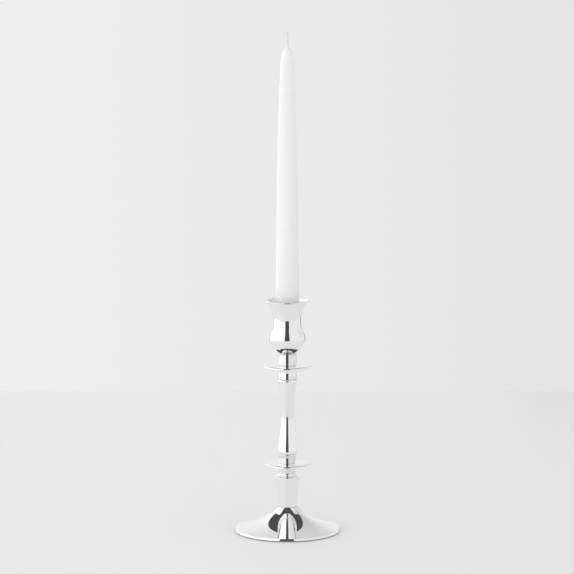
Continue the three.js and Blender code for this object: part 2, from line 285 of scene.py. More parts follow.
def makeSilver(finish):
    # Silver plate over turned brass, colour-buffed on a wheel. It is a neutral mirror with edges that stay
    # sharp, the faintest lines round each piece, soft waves from the hand that held it, dull wipe marks,
    # a satin skin where the wheel can't reach and a little tarnish in the seams.
    material, tree, place = startFinish("buffedSilverPlate")
    run = addNode(tree, "ShaderNodeAttribute", {"attribute_name": "outlineRun"}).outputs["Fac"]
    soil = addNode(tree, "ShaderNodeAttribute", {"attribute_name": "seamSoil"}).outputs["Fac"]
    satin = addNode(tree, "ShaderNodeAttribute", {"attribute_name": "satin"}).outputs["Fac"]
    lineStep = addNode(tree, "ShaderNodeMath", {"operation": "DIVIDE"}, {0: run, 1: finish["buffLine"]})
    flatPlace = addNode(tree, "ShaderNodeVectorMath", {"operation": "MULTIPLY"}, {
        0: place, 1: (1000 / finish["buffReach"], 1000 / finish["buffReach"], 0)})
    lift = addNode(tree, "ShaderNodeCombineXYZ", {}, {"Z": lineStep})
    linePlace = addNode(tree, "ShaderNodeVectorMath", {"operation": "ADD"}, {0: flatPlace, 1: lift})
    lines = addNode(tree, "ShaderNodeTexNoise", {}, {
        "Vector": linePlace, "Scale": 1.0, "Detail": 2.0, "Roughness": 0.6})
    waves = addNode(tree, "ShaderNodeTexNoise", {}, {
        "Vector": place, "Scale": 1000 / finish["handWave"], "Detail": 1.0, "Roughness": 0.4})
    wipes = addNode(tree, "ShaderNodeTexNoise", {}, {
        "Vector": place, "Scale": 1000 / finish["wipe"], "Detail": 4.0, "Roughness": 0.62, "Distortion": 1.2})
    waveBump = addNode(tree, "ShaderNodeBump", {}, {
        "Strength": 1.0, "Distance": finish["waveDepth"] * mm, "Height": waves})
    lineBump = addNode(tree, "ShaderNodeBump", {}, {
        "Strength": 1.0, "Distance": finish["buffDepth"] * mm, "Height": lines, "Normal": waveBump})
    haze = addNode(tree, "ShaderNodeMapRange", {}, {
        "Value": wipes, "From Min": 0.35, "From Max": 0.7,
        "To Min": finish["roughness"][0], "To Max": finish["roughness"][1]})
    dull = addNode(tree, "ShaderNodeMath", {"operation": "MULTIPLY_ADD"}, {
        0: satin, 1: finish["satinRoughness"], 2: haze})
    patchy = addNode(tree, "ShaderNodeMath", {"operation": "MULTIPLY"}, {0: soil, 1: wipes})
    tarnish = addNode(tree, "ShaderNodeMath", {"operation": "MULTIPLY"}, {
        0: patchy, 1: 2 * finish["seamTarnish"]})
    dirty = addNode(tree, "ShaderNodeMath", {"operation": "MULTIPLY_ADD"}, {0: tarnish, 1: 0.35, 2: dull})
    colour = addNode(tree, "ShaderNodeMix", {"data_type": "RGBA"}, {
        0: tarnish, 6: linear(finish["silver"]), 7: linear(finish["tarnish"])})
    return coat(material, {
        "Base Color": colour.outputs[2], "Metallic": 1.0, "Roughness": dirty, "Normal": lineBump})


zincFinish = {"zinc": "#C9CDD2", "bloom": "#A7A594", "spangle": 1.1, "roughness": (0.22, 0.42), "grain": 0.15}


def makeZinc(finish):
    # Bright zinc plating on steel: a bluish grey metal, a little cloudy, with a straw-coloured bloom in
    # patches a millimetre or so across and a fine pickled grain
    material, tree, place = startFinish("brightZincPlatedSteel")
    cloud = addNode(tree, "ShaderNodeTexNoise", {}, {
        "Vector": place, "Scale": 1000 / finish["spangle"], "Detail": 3.0})
    grain = addNode(tree, "ShaderNodeTexNoise", {}, {
        "Vector": place, "Scale": 1000 / finish["grain"], "Detail": 2.0})
    share = addNode(tree, "ShaderNodeMapRange", {}, {
        "Value": cloud, "From Min": 0.45, "From Max": 0.75, "To Max": 0.6})
    colour = addNode(tree, "ShaderNodeMix", {"data_type": "RGBA"}, {
        0: share, 6: linear(finish["zinc"]), 7: linear(finish["bloom"])})
    rough = addNode(tree, "ShaderNodeMapRange", {}, {
        "Value": cloud, "From Min": 0.3, "From Max": 0.7,
        "To Min": finish["roughness"][0], "To Max": finish["roughness"][1]})
    bump = addNode(tree, "ShaderNodeBump", {}, {"Strength": 0.4, "Distance": 0.01 * mm, "Height": grain})
    return coat(material, {
        "Base Color": colour.outputs[2], "Metallic": 1.0, "Roughness": rough, "Normal": bump})


ironFinish = {"iron": "#4B4946", "rust": "#6E4A35", "sand": 0.45, "sandDepth": 0.12, "patch": 9.0}


def makeIron(finish):
    # Grey iron cast in sand: dull, dark and pitted by grains of about half a millimetre, with the first
    # brown rust in patches
    material, tree, place = startFinish("sandCastIron")
    sand = addNode(tree, "ShaderNodeTexNoise", {}, {
        "Vector": place, "Scale": 1000 / finish["sand"], "Detail": 3.0, "Roughness": 0.7})
    patches = addNode(tree, "ShaderNodeTexNoise", {}, {
        "Vector": place, "Scale": 1000 / finish["patch"], "Detail": 5.0, "Roughness": 0.65})
    share = addNode(tree, "ShaderNodeMapRange", {}, {
        "Value": patches, "From Min": 0.52, "From Max": 0.68, "To Max": 0.8})
    colour = addNode(tree, "ShaderNodeMix", {"data_type": "RGBA"}, {
        0: share, 6: linear(finish["iron"]), 7: linear(finish["rust"])})
    metal = addNode(tree, "ShaderNodeMapRange", {}, {"Value": share, "To Min": 0.8, "To Max": 0.1})
    bump = addNode(tree, "ShaderNodeBump", {}, {
        "Strength": 0.8, "Distance": finish["sandDepth"] * mm, "Height": sand})
    return coat(material, {
        "Base Color": colour.outputs[2], "Metallic": metal, "Roughness": 0.72, "Normal": bump})


brassFinish = {"brass": "#CBA75B", "aged": "#9C7A45", "feed": 0.35, "feedDepth": 0.004, "stain": 2.5}


def makeBrass(finish):
    # Brass turned and left bare: yellow, with the tool's feed marks as rings one above another (about
    # twice as far apart as real ones, so that they show) and browner stains
    material, tree, place = startFinish("turnedBareBrass")
    # At scale one, a wave texture's bands repeat every full turn / 20
    rings = addNode(tree, "ShaderNodeTexWave", {"bands_direction": "Z"}, {
        "Vector": place, "Scale": fullTurn / 20 * 1000 / finish["feed"], "Distortion": 0.4, "Detail": 1.0})
    stains = addNode(tree, "ShaderNodeTexNoise", {}, {
        "Vector": place, "Scale": 1000 / finish["stain"], "Detail": 4.0})
    share = addNode(tree, "ShaderNodeMapRange", {}, {
        "Value": stains, "From Min": 0.45, "From Max": 0.7, "To Max": 0.7})
    colour = addNode(tree, "ShaderNodeMix", {"data_type": "RGBA"}, {
        0: share, 6: linear(finish["brass"]), 7: linear(finish["aged"])})
    rough = addNode(tree, "ShaderNodeMapRange", {}, {"Value": share, "To Min": 0.22, "To Max": 0.45})
    bump = addNode(tree, "ShaderNodeBump", {}, {
        "Strength": 0.7, "Distance": finish["feedDepth"] * mm, "Height": rings})
    return coat(material, {
        "Base Color": colour.outputs[2], "Metallic": 1.0, "Roughness": rough, "Normal": bump})


boardFinish = {"board": "#9A815F", "fleck": "#6F5A42", "fibre": 0.8, "fibreLength": 4.0}


def makeBoard(finish):
    # Board pressed from waste fibre: matt grey-brown, with short darker fibres lying flat in it
    material, tree, place = startFinish("pressedFibreBoard")
    flat = addNode(tree, "ShaderNodeVectorMath", {"operation": "MULTIPLY"}, {
        0: place, 1: (1000 / finish["fibreLength"], 1000 / finish["fibre"], 1000 / finish["fibre"])})
    fibres = addNode(tree, "ShaderNodeTexNoise", {}, {
        "Vector": flat, "Scale": 1.0, "Detail": 4.0, "Roughness": 0.7, "Distortion": 2.5})
    share = addNode(tree, "ShaderNodeMapRange", {}, {"Value": fibres, "From Min": 0.5, "From Max": 0.7})
    colour = addNode(tree, "ShaderNodeMix", {"data_type": "RGBA"}, {
        0: share, 6: linear(finish["board"]), 7: linear(finish["fleck"])})
    bump = addNode(tree, "ShaderNodeBump", {}, {"Strength": 0.6, "Distance": 0.05 * mm, "Height": fibres})
    return coat(material, {"Base Color": colour.outputs[2], "Roughness": 0.92, "Normal": bump})


feltFinish = {"dark": "#1D2024", "light": "#3A3E44", "fibre": 0.5, "tuft": 3.0}


def makeFelt(finish):
    # Wool felt, dyed near black: matt, with single paler fibres (drawn several times their real width),
    # denser and looser tufts a few millimetres across, and a soft bloom of light where it is seen edge on
    material, tree, place = startFinish("pressedWoolFelt")
    fibres = addNode(tree, "ShaderNodeTexNoise", {}, {
        "Vector": place, "Scale": 1000 / finish["fibre"], "Detail": 5.0, "Roughness": 0.75,
        "Distortion": 3.0})
    tufts = addNode(tree, "ShaderNodeTexNoise", {}, {
        "Vector": place, "Scale": 1000 / finish["tuft"], "Detail": 2.0})
    mixed = addNode(tree, "ShaderNodeMath", {"operation": "MULTIPLY"}, {0: fibres, 1: tufts})
    share = addNode(tree, "ShaderNodeMapRange", {}, {"Value": mixed, "From Min": 0.15, "From Max": 0.4})
    colour = addNode(tree, "ShaderNodeMix", {"data_type": "RGBA"}, {
        0: share, 6: linear(finish["dark"]), 7: linear(finish["light"])})
    bump = addNode(tree, "ShaderNodeBump", {}, {"Strength": 0.9, "Distance": 0.15 * mm, "Height": fibres})
    return coat(material, {
        "Base Color": colour.outputs[2], "Roughness": 1.0, "Sheen Weight": 0.35, "Sheen Roughness": 0.5,
        "Normal": bump})


waxFinish = {
    "wax": "#FBFBFA", "bloom": "#F6F6F4", "run": 60, "dip": 9, "runDepth": 0.03,
    "roughness": (0.34, 0.5), "glowDepth": 1.6,
}


def makeWax(finish):
    # White paraffin wax, dipped: light sinks in a millimetre or two and comes out soft, the skin has a low
    # sheen, and long shallow runs and a faint cloudy bloom are left from the dipping
    material, tree, place = startFinish("dippedParaffinWax")
    stretched = addNode(tree, "ShaderNodeVectorMath", {"operation": "MULTIPLY"}, {
        0: place, 1: (1000 / finish["dip"], 1000 / finish["dip"], 1000 / finish["run"])})
    runs = addNode(tree, "ShaderNodeTexNoise", {}, {
        "Vector": stretched, "Scale": 1.0, "Detail": 2.0, "Roughness": 0.5})
    cloud = addNode(tree, "ShaderNodeTexNoise", {}, {
        "Vector": place, "Scale": 1000 / finish["dip"], "Detail": 5.0, "Roughness": 0.6})
    share = addNode(tree, "ShaderNodeMapRange", {}, {
        "Value": cloud, "From Min": 0.4, "From Max": 0.7, "To Max": 0.7})
    colour = addNode(tree, "ShaderNodeMix", {"data_type": "RGBA"}, {
        0: share, 6: linear(finish["wax"]), 7: linear(finish["bloom"])})
    rough = addNode(tree, "ShaderNodeMapRange", {}, {
        "Value": cloud, "From Min": 0.3, "From Max": 0.7,
        "To Min": finish["roughness"][0], "To Max": finish["roughness"][1]})
    bump = addNode(tree, "ShaderNodeBump", {}, {
        "Strength": 1.0, "Distance": finish["runDepth"] * mm, "Height": runs})
    return coat(material, {
        "Base Color": colour.outputs[2], "Roughness": rough, "IOR": 1.44,
        "Subsurface Weight": 0.3, "Subsurface Radius": (1.0, 0.95, 0.9),
        "Subsurface Scale": finish["glowDepth"] * mm, "Normal": bump})


# The second colour is painted shade for the grooves between the strands, not a colour of the cotton.
cottonFinish = {"cotton": "#EEEEEB", "grooveShade": "#A3A19D", "fibre": 0.25}


def makeCotton(finish):
    # Braided cotton soaked in wax: white strands with painted shade, a greyer tone, in the grooves between
    # them, a waxy half-gloss and hair-fine fibres along the strands (drawn a few times their real width)
    material, tree, place = startFinish("waxedCottonBraid")
    strand = addNode(tree, "ShaderNodeAttribute", {"attribute_name": "strandRise"}).outputs["Fac"]
    fibres = addNode(tree, "ShaderNodeTexNoise", {}, {
        "Vector": place, "Scale": 1000 / finish["fibre"], "Detail": 3.0, "Roughness": 0.7, "Distortion": 1.5})
    height = addNode(tree, "ShaderNodeMath", {"operation": "MULTIPLY_ADD"}, {0: fibres, 1: 0.4, 2: strand})
    share = addNode(tree, "ShaderNodeMapRange", {}, {"Value": height, "From Min": 0.1, "From Max": 0.7})
    # Grey where the strands sink, white where they rise: painted shade in the grooves, with the fibre noise
    # adding real tone.
    colour = addNode(tree, "ShaderNodeMix", {"data_type": "RGBA"}, {
        0: share, 6: linear(finish["grooveShade"]), 7: linear(finish["cotton"])})
    bump = addNode(tree, "ShaderNodeBump", {}, {"Strength": 0.7, "Distance": 0.08 * mm, "Height": height})
    return coat(material, {"Base Color": colour.outputs[2], "Roughness": 0.55, "IOR": 1.45, "Normal": bump})


silver = makeSilver(silverFinish)
zinc = makeZinc(zincFinish)
iron = makeIron(ironFinish)
brass = makeBrass(brassFinish)
board = makeBoard(boardFinish)
felt = makeFelt(feltFinish)
wax = makeWax(waxFinish)
cotton = makeCotton(cottonFinish)
print("finishes mixed")

# The foot: a spun dish with a low sloping rim, a long concave sweep and a narrow flat top
bore = 3.3
footSizes = {
    "rimRadius": 49.4, "rimBottom": 0.8, "rimStart": 1.1, "rimLean": (49.12, 2.0), "shoulder": (48.7, 2.85),
    "handles": [(21.7, 10.15), (14.4, 15.9)], "neck": 8.9, "top": 23.03,
    "wall": 1.2, "web": 1.5, "underRim": 48.1, "insideCorner": 1.6,
}


def makeFoot(size):
    # Outside, a Bezier rim and sweep; inside, the same sweep moved in by the wall, and a flat web on top
    neck = (size["neck"], size["top"])
    sweep = bend(size["shoulder"], size["handles"], neck, 90)
    rim = bend((size["rimRadius"], size["rimStart"]), [size["rimLean"]], size["shoulder"], 10)
    inside = insetRun(sweep, size["wall"])
    webBottom = size["top"] - size["web"]
    inside = inside[(inside[:, 1] < webBottom - 0.3) & (inside[:, 0] < size["underRim"] - 0.5)][::-1]
    line = outline(
        (size["underRim"], size["rimBottom"], 0.12), (size["rimRadius"], size["rimBottom"], 0.14),
        rim[:-1], (*size["shoulder"], 0.12), sweep[1:-1], (*neck, 0.12), (bore, size["top"], 0.1),
        (bore, webBottom, 0.1), (size["neck"] - size["wall"], webBottom, 0.3), inside,
        (size["underRim"], size["insideCorner"], 0.3),
    )
    return turnedPiece("spun_foot", line, 240, [neck])


settle(makeFoot(footSizes), "holder", "foot_shell", silver)

# The column's turned pieces, each one's heights meeting its neighbours' in a fine seam
seam = 0.015      # half the width of the seam between two clamped pieces
columnHeights = {
    "footTop": 23.05, "pedestalTop": 54.95, "lowerDiscUnder": 61.8, "lowerDiscOver": 64.2, "stemFoot": 71.15,
    "stemHead": 143.35, "upperDiscUnder": 154.0, "upperDiscOver": 156.4, "cupFoot": 166.55,
}
pedestalSizes = {
    "footRadius": 8.8, "handles": [(9.3, 33), (10.4, 43)], "edge": (12.2, 51.15), "edgeTop": 51.5,
    "coveStart": 11.6, "coveHandle": (8.2, 52.1), "coveEnd": (7.8, 54.6),
}
stemSizes = {
    "footRadius": 8.3, "lip": (8.2, 72.9), "lipEnd": (8.95, 73.2), "shoulder": (9.35, 74.3),
    "shoulderEnd": (9.25, 76.0), "lowerHandles": [(8.6, 84), (6.1, 93)], "waist": (6.1, 109),
    "upperHandles": [(6.1, 121), (7.3, 130)], "head": (9.3, 141.6), "headHandle": (9.3, 142.6),
    "headEnd": (8.6, 143.2), "headRadius": 8.5,
}
collarRadii = {"pedestal": (7.8, 7.8), "stemFoot": (7.5, 8.35), "cupNeck": (8.5, 8.5)}       # low and high
coveSizes = {"radius": 8.5, "flare": 2.2, "coveHeight": 4.6}
lowerDiscSizes = {"radius": 20.7, "seams": (7.8, 7.5), "flatStart": 9}
upperDiscSizes = {"radius": 22.0, "seams": (10.7, 8.5), "flatStart": 9}


def between(lowMark, highMark, gap=seam):
    # A piece's two end heights: each is a named height drawn in by half a seam, or by nothing for a disc
    return columnHeights[lowMark] + gap, columnHeights[highMark] - gap


def makePedestal(size, low, high):
    # The side widens upwards to an edge, and a cove above the edge narrows to the neck
    side = bend((size["footRadius"], low + 0.15), size["handles"], size["edge"], 60)
    cove = bend((size["coveStart"], size["edgeTop"]), [size["coveHandle"]], size["coveEnd"], 24)
    line = outline(
        (bore, low, 0.1), (size["footRadius"] - 0.1, low, 0.1), side[1:-1],
        (size["edge"][0], size["edgeTop"], 0.2), cove[1:-1],
        (size["coveEnd"][0] - 0.05, high, 0.1), (bore, high, 0.1),
    )
    seams = [(size["footRadius"], low), (size["coveEnd"][0], high)]
    return turnedPiece("turned_pedestal", line, seams=seams)


def makeCollar(name, radii, low, high):
    # Straight or slightly tapered: one radius at the bottom, one at the top
    line = outline((bore, low, 0.1), (radii[0], low, 0.22), (radii[1], high, 0.22), (bore, high, 0.1))
    return turnedPiece(name, line, seams=[(radii[0], low), (radii[1], high)])


def makeCovedCollar(name, size, low, high):
    # Straight below; above, a parabola carries the side out to meet the disc
    radius, start = size["radius"], high - size["coveHeight"]
    middle = (radius, high - size["coveHeight"] / 2)
    cove = bend((radius, start), [middle], (radius + size["flare"], high - 0.05), 24)
    line = outline((bore, low, 0.1), (radius, low, 0.22), cove, (bore, high, 0.1))
    return turnedPiece(name, line, seams=[(radius, low), tuple(cove[-1])])


def makeDisc(name, size, low, high):
    # Flat, with a half-round edge, and a seam with the collar below it and the one above
    half = (high - low) / 2
    edge = arc((size["radius"] - half, low + half), half, -math.pi / 2, math.pi / 2, 24)
    flat = np.linspace(size["flatStart"], size["radius"] - half - 0.05, 12)
    line = outline(
        (bore, low, 0.1), np.column_stack([flat, 0 * flat + low]), edge,
        np.column_stack([flat[::-1], 0 * flat + high]), (bore, high, 0.1),
    )
    return turnedPiece(name, line, 200, list(zip(size["seams"], (low, high))))


def makeStem(size, low, high):
    # A lip and a rounded shoulder, a long waist narrowest in the middle, and a rounded head
    lip = bend((size["footRadius"], low + 0.2), [size["lip"]], size["lipEnd"], 8)
    shoulder = bend(size["lipEnd"], [size["shoulder"]], size["shoulderEnd"], 12)
    lower = bend(size["shoulderEnd"], size["lowerHandles"], size["waist"], 60)
    upper = bend(size["waist"], size["upperHandles"], size["head"], 60)
    head = bend(size["head"], [size["headHandle"]], size["headEnd"], 12)
    line = outline(
        (bore, low, 0.1), (size["footRadius"] - 0.05, low, 0.1), lip, shoulder[1:], lower[1:], upper[1:],
        head[1:-1], (size["headRadius"], high, 0.08), (bore, high, 0.1),
    )
    return turnedPiece("baluster", line, seams=[(size["footRadius"], low), (size["headRadius"], high)])


columnPieces = {
    "pedestal": makePedestal(pedestalSizes, *between("footTop", "pedestalTop")),
    "pedestal_collar": makeCollar(
        "pedestal_ring", collarRadii["pedestal"], *between("pedestalTop", "lowerDiscUnder")),
    "lower_disc": makeDisc("lower_drip_disc", lowerDiscSizes, *between("lowerDiscUnder", "lowerDiscOver", 0)),
    "stem_bottom_collar": makeCollar(
        "lower_stem_ring", collarRadii["stemFoot"], *between("lowerDiscOver", "stemFoot")),
    "baluster_stem": makeStem(stemSizes, *between("stemFoot", "stemHead")),
    "stem_top_collar": makeCovedCollar("upper_stem_ring", coveSizes, *between("stemHead", "upperDiscUnder")),
    "upper_disc": makeDisc("upper_drip_disc", upperDiscSizes, *between("upperDiscUnder", "upperDiscOver", 0)),
    "upper_neck_collar": makeCollar(
        "cup_neck_ring", collarRadii["cupNeck"], *between("upperDiscOver", "cupFoot")),
}
for node, piece in columnPieces.items():
    settle(piece, "holder", node, silver)

# The tulip cup: a round bowl, a waist and a flared mouth with a thin rolled lip, all of one spun wall
cupSizes = {
    "neckRadius": 8.4, "bowlRadius": 16.75, "bowlCentre": 182.2, "bowlEnd": -0.04,
    "underHandles": [(16.7, 185.6), (12.5, 190.4)], "waist": (12.5, 196.5),
    "flareHandles": [(12.5, 204.4), (15.5, 209.4)], "flareEnd": (19.72, 215.8),
    "lipCentre": (20.04, 216.41), "lipRadius": 0.55, "lipFrom": -112, "lipTo": 190,      # degrees
    "wall": 0.7, "insideTop": 216.1, "floorTop": 168.2, "floorRadius": 7.1,
    "bright": 8, "fading": 6,         # points inside the lip that the buff reaches, and then half reaches
}


def makeCup(size, low):
    # The bowl is an arc of a circle, two curves carry it through the waist to the flare, the lip is most
    # of a small circle, and the inside is the outside moved in by the wall.
    start = -math.acos(size["neckRadius"] / size["bowlRadius"])
    bowl = arc((0, size["bowlCentre"]), size["bowlRadius"], start, size["bowlEnd"], 48)
    under = bend(bowl[-1], size["underHandles"], size["waist"], 40)
    flare = bend(size["waist"], size["flareHandles"], size["flareEnd"], 50)
    outside = np.vstack([bowl, under[1:], flare[1:]])
    lipFrom, lipTo = math.radians(size["lipFrom"]), math.radians(size["lipTo"])
    lip = arc(size["lipCentre"], size["lipRadius"], lipFrom, lipTo, 24)
    inside = insetRun(outside, size["wall"])
    inside = inside[(inside[:, 1] > size["floorTop"] + 0.3) & (inside[:, 1] < size["insideTop"])][::-1]
    line = outline(
        (bore, low, 0.1), (size["neckRadius"] - 0.05, low, 0.1), outside[1:-1], lip, inside,
        (size["floorRadius"], size["floorTop"], 0.4), (bore, size["floorTop"], 0.1),
    )
    pastLip = np.arange(len(line)) - np.argmax(line[:, 1])
    satinRows = np.clip((pastLip - size["bright"]) / size["fading"], 0, 1)
    return turnedPiece("tulip_cup", line, 200, [(size["neckRadius"], low)], satinRows)


settle(makeCup(cupSizes, columnHeights["cupFoot"] + seam), "holder", "cup_shell", silver)

socketSizes = {
    "corners": [      # radius, height and rounding, from the middle of the underside out, up and back in
        (0, 194.1, 0), (10.9, 194.1, 0.3), (11.5, 194.7, 0.3), (11.5, 205.0, 0.8), (12.4, 206.05, 0.25),
        (12.4, 206.4, 0.17), (12.05, 206.4, 0.2), (11.15, 205.2, 0.8), (11.15, 194.6, 0.3), (0, 194.6, 0),
    ],
}


def makeSocket(size):
    # A flat-bottomed cup with a flared rim, drawn from one sheet
    return turnedPiece("drawn_socket", outline(*size["corners"]))


settle(makeSocket(socketSizes), "holder", "socket_liner", silver)
print("silver pieces turned")

# The taper candle: slightly uneven from dipping, with wax that has crept up the foot of the wick
candleSizes = {
    "radius": 10.9, "low": 194.9, "straight": (198, 221), "taperStart": 222,
    "handles": [(9.9, 285), (9.7, 360)], "shoulder": (6.3, 434),
    "noseHandles": [(5.95, 441), (4.6, 447)], "tip": (1.9, 449.0),
    "creepHandles": [(1.15, 449.3), (1.1, 451)], "creep": (0.9, 453.6), "wickHole": 0.82,
    "unevenness": 0.05, "waves": (16, 11), "stretch": 0.35, "evenBelow": 215, "fadeIn": 20,
    "evenInside": 1.5,
}


def makeCandle(size):
    # A Bezier taper from the straight foot to the shoulder, a rounded nose, and wax crept up the wick; each
    # point then moves out or in by smooth noise drawn out along the candle.
    body = bend((size["radius"], size["taperStart"]), size["handles"], size["shoulder"], 120)
    nose = bend(size["shoulder"], size["noseHandles"], size["tip"], 40)
    creep = bend(size["tip"], size["creepHandles"], size["creep"], 24)
    line = outline(
        (size["wickHole"], size["low"], 0.1), (size["radius"], size["low"], 0.8),
        np.column_stack([np.full(8, size["radius"]), np.linspace(*size["straight"], 8)]),
        body, nose[1:], creep[1:], (size["wickHole"], size["creep"][1], 0.05),
    )
    grid = turnedGrid(line, 144)
    uneven = wavyNoise(grid * (1, 1, size["stretch"]), *size["waves"]) * size["unevenness"]
    share = np.clip((grid[..., 2] - size["evenBelow"]) / size["fadeIn"], 0, 1)
    share = share * (line[:, :1] > size["evenInside"])
    grid[..., :2] *= (1 + uneven * share / np.maximum(line[:, :1], 1))[..., None]
    points, faces = closeGrid(grid, "ring")
    return makePiece("taper_candle", points, faces)


settle(makeCandle(candleSizes), "taper", "candle", wax)

wickSizes = {
    "radius": 0.7, "strands": 3, "lay": 2.6, "depth": 0.09,      # mm, apart from the number of strands
    "bottom": 195.3, "straightTop": 442, "freeFrom": 442.5,
    "riseStart": (0, 443), "riseHandles": [(0, 448), (0.5, 452)], "bend": (0.3, 457.2),
    "curlHandles": [(0.16, 461.2), (0.35, 463.5)], "end": (-1.9, 463.1),
}


def makeWick(size):
    # A braid carried along a path in the upright plane: the section's radius swells where two families of
    # strands that wind opposite ways cross, r (1 + depth cos(n t + k s) cos(n t - k s)).
    straight = np.column_stack([np.zeros(40), np.linspace(size["bottom"], size["straightTop"], 40)])
    rise = bend(size["riseStart"], size["riseHandles"], size["bend"], 60)
    curl = bend(size["bend"], size["curlHandles"], size["end"], 60)
    path = np.vstack([straight, rise, curl[1:]])
    along = np.gradient(path, axis=0)
    along /= np.linalg.norm(along, axis=1)[:, None]
    turn = np.arange(24) / 24 * fullTurn
    wind = (runLength(path) * fullTurn / size["lay"])[:, None]
    weave = np.cos(size["strands"] * turn + wind) * np.cos(size["strands"] * turn - wind)
    free = path[:, 1:] > size["freeFrom"]
    radius = size["radius"] * (1 + size["depth"] * weave * free)
    grid = np.stack([
        path[:, :1] + radius * np.cos(turn) * along[:, 1:],
        radius * np.sin(turn),
        path[:, 1:] - radius * np.cos(turn) * along[:, :1],
        0.5 + 0.5 * weave * free,
    ], -1)
    points, faces = closeGrid(cappedGrid(grid), "poles")
    return makePiece("braided_wick", points[:, :3], faces, {"strandRise": points[:, 3]})


settle(makeWick(wickSizes), "taper", "wick", cotton)
print("candle dipped")

# What the foot and the stack hold inside. The rod and what screws onto it share one thread.
thread = {"pitch": 1.0, "root": 2.42, "crest": 2.98, "rowsPerTurn": 8, "play": 0.14, "leadIn": 0.35}
rodSizes = {"low": 2.9, "high": 178, "endBevel": 0.7, "sides": 20}
nutSizes = {"across": 10, "low": 4.2, "high": 9.2, "mouth": 3.4, "face": 4.75, "bevel": math.radians(30)}
bossSizes = {"low": 168.5, "flangeTop": 171, "high": 179, "mouth": 3.5, "flange": 6.8, "body": 5.2}


def threadRadius(turn, height):
    # A ramp up and down once for each pitch of rise, started a little later all the way round, with its
    # top and bottom cut flat: root + depth * clip(1.25 |2 frac(z / pitch - t / full turn) - 1| - 0.12)
    phase = np.mod(height / thread["pitch"] - turn / fullTurn, 1)
    rise = np.clip(1.25 * np.abs(2 * phase - 1) - 0.12, 0, 1)
    return thread["root"] + (thread["crest"] - thread["root"]) * rise


def makeRod(size):
    # A round bar whose radius at every turn and height is the thread's, cut by a 45 degree bevel at each end
    rows = round((size["high"] - size["low"]) / thread["pitch"] * thread["rowsPerTurn"])
    height = np.linspace(size["low"], size["high"], rows)[:, None]
    turn = np.arange(size["sides"]) / size["sides"] * fullTurn
    toEnd = np.minimum(height - size["low"], size["high"] - height)
    radius = np.minimum(threadRadius(turn, height), thread["crest"] - size["endBevel"] + toEnd)
    points, faces = closeGrid(cappedGrid(carryRound(radius, turn, height)), "poles")
    return makePiece("threaded_rod", points, faces)


def makeTapped(name, outside, sides, across=None):
    # A body tapped with the rod's thread. The outside is an outline from the lower face to the upper one;
    # flats cut it to the distance of a hexagon's side: across / 2 / cos(t), t from the middle of the side.
    turn = np.arange(sides) / sides * fullTurn
    sixth = fullTurn / 6
    radius = outside[:, :1] + 0 * turn
    if across:
        radius = np.minimum(radius, across / 2 / np.cos(np.mod(turn, sixth) - sixth / 2))
    low, high = outside[0, 1] + thread["leadIn"], outside[-1, 1] - thread["leadIn"]
    inner = np.arange(high, low, -thread["pitch"] / thread["rowsPerTurn"])[:, None]
    height = np.concatenate([outside[:, 1:], inner])
    radius = np.concatenate([radius, threadRadius(turn, inner) + thread["play"]])
    points, faces = closeGrid(carryRound(radius, turn, height), "ring")
    return makePiece(name, points, faces)


def makeNut(size):
    # The bevel that rounds a nut's corners is a cone, so it cuts the flats in arcs
    corner = size["across"] / 2 / math.cos(math.pi / 6)
    reach = np.linspace(size["face"], corner + 0.02, 8)
    rise = (reach - size["face"]) * math.tan(size["bevel"])
    lower = np.column_stack([reach, size["low"] + rise])
    upper = np.column_stack([reach, size["high"] - rise])[::-1]
    outside = np.vstack([[(size["mouth"], size["low"])], lower, upper, [(size["mouth"], size["high"])]])
    return makeTapped("chamfered_nut", outside, 96, size["across"])


def makeBoss(size):
    # A flange with a narrower round body on it, tapped right through
    line = outline(
        (size["mouth"], size["low"], 0.1), (size["flange"], size["low"], 0.3),
        (size["flange"], size["flangeTop"], 0.35), (size["body"], size["flangeTop"], 0.3),
        (size["body"], size["high"], 0.5), (size["mouth"], size["high"], 0.1),
    )
    return makeTapped("tapped_boss", line, 96)


springSizes = {"inner": 3.45, "outer": 5.9, "low": 9.55, "high": 11.05, "slit": 1.4, "spring": 0.2}


def makeSpringWasher(size):
    # A square wire in one turn of a helix: the section goes round from one side of the slit to the other
    # and climbs by the spring that is left in it
    low, high = size["low"], size["high"]
    section = outline(
        (size["inner"], low, 0.2), (size["outer"], low, 0.25), (size["outer"], high, 0.25),
        (size["inner"], high, 0.2),
    )[::-1]
    halfSlit = math.asin(size["slit"] / 2 / size["outer"])
    turn = np.linspace(halfSlit, fullTurn - halfSlit, 121)[:, None]
    climb = (turn / fullTurn - 0.5) * size["spring"]
    grid = carryRound(section[:, 0], turn, section[:, 1] + climb)
    points, faces = closeGrid(cappedGrid(grid), "poles")
    return makePiece("split_washer", points, faces)


washerSizes = {"inner": 3.4, "outer": 6, "low": 11.4, "high": 13.0}


def makeFlatWasher(size):
    # Punched: the edge that the punch met first is rounder than the other
    inner, outer, low, high = size["inner"], size["outer"], size["low"], size["high"]
    line = outline((inner, low, 0.15), (outer, low, 0.2), (outer, high, 0.55), (inner, high, 0.35))
    return turnedPiece("punched_washer", line, 120)


ballastSizes = {
    "radius": 36, "low": 2.6, "top": (7.0, 21.1), "room": 1.8, "recess": (8.5, 13.3),
    "rough": 0.11, "coarseGrain": (5, 21), "fineGrain": (1.6, 22), "upGrain": (4, 23),
}


